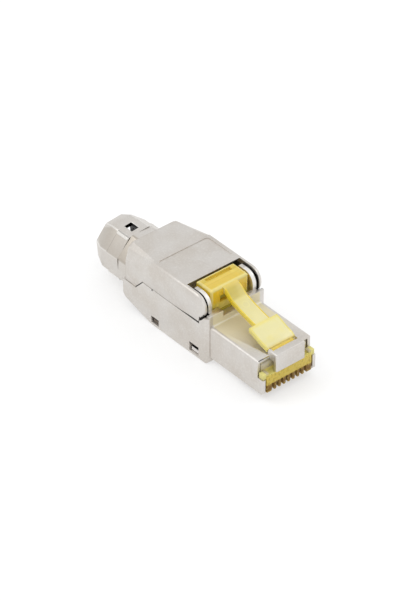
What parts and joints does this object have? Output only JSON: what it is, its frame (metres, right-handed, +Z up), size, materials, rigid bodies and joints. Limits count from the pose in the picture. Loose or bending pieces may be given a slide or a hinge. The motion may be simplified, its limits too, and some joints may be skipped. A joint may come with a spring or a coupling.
{
  "type": "modular network plug",
  "caption": "Field-fitted shielded network plug with a die-cast shell, hinged cover, translucent latch lever and an octagonal sliding sleeve at the cable end.",
  "frame": {"origin": "middle of the plug's length and width, on the plane of its flat underside", "axes": "+X from the cable end towards the nose that enters the socket, +Z up through the cover, +Y to the plug's left"},
  "size_m": [0.0462, 0.0132, 0.0133],
  "materials": {
    "nickelled_casting": "satin",
    "spring_steel": "satin",
    "clear_yellow": "gloss",
    "board_green": "satin",
    "pale_plastic": "matte",
    "dark_plastic": "matte",
    "gold_contact": "polished",
    "tinned_brass": "satin"
  },
  "bodies": {
    "housing": {"lower_housing": "nickelled_casting", "contact_insert": "clear_yellow", "contact_1": "gold_contact", "contact_2": "gold_contact", "contact_3": "gold_contact", "contact_4": "gold_contact", "contact_5": "gold_contact", "contact_6": "gold_contact", "contact_7": "gold_contact", "contact_8": "gold_contact", "circuit_board": "board_green", "board_carrier": "pale_plastic", "terminal_block": "dark_plastic", "idc_terminal_1": "tinned_brass", "idc_terminal_2": "tinned_brass", "idc_terminal_3": "tinned_brass", "idc_terminal_4": "tinned_brass", "idc_terminal_5": "tinned_brass", "idc_terminal_6": "tinned_brass", "idc_terminal_7": "tinned_brass", "idc_terminal_8": "tinned_brass", "wire_cap": "pale_plastic", "shield_clip": "spring_steel"},
    "cover": {"top_cover": "nickelled_casting"},
    "latch": {"latch_lever": "clear_yellow"},
    "sleeve": {"rear_sleeve": "nickelled_casting"}
  },
  "joints": [
    {"name": "cover_hinge", "type": "hinge", "parent": "housing", "child": "cover", "pos_m": [0.00595, 0, 0.01085], "axis": [0, 1, 0], "range_deg": [0, 80]},
    {"name": "latch_press", "type": "hinge", "parent": "housing", "child": "latch", "pos_m": [0.0218, 0, 0.008], "axis": [0, 1, 0], "range_deg": [-6, 0], "stiffness_Nm_per_rad": 0.4},
    {"name": "sleeve_slide", "type": "slide", "parent": "housing", "child": "sleeve", "axis": [-1, 0, 0], "range_m": [0, 0.006]}
  ]
}
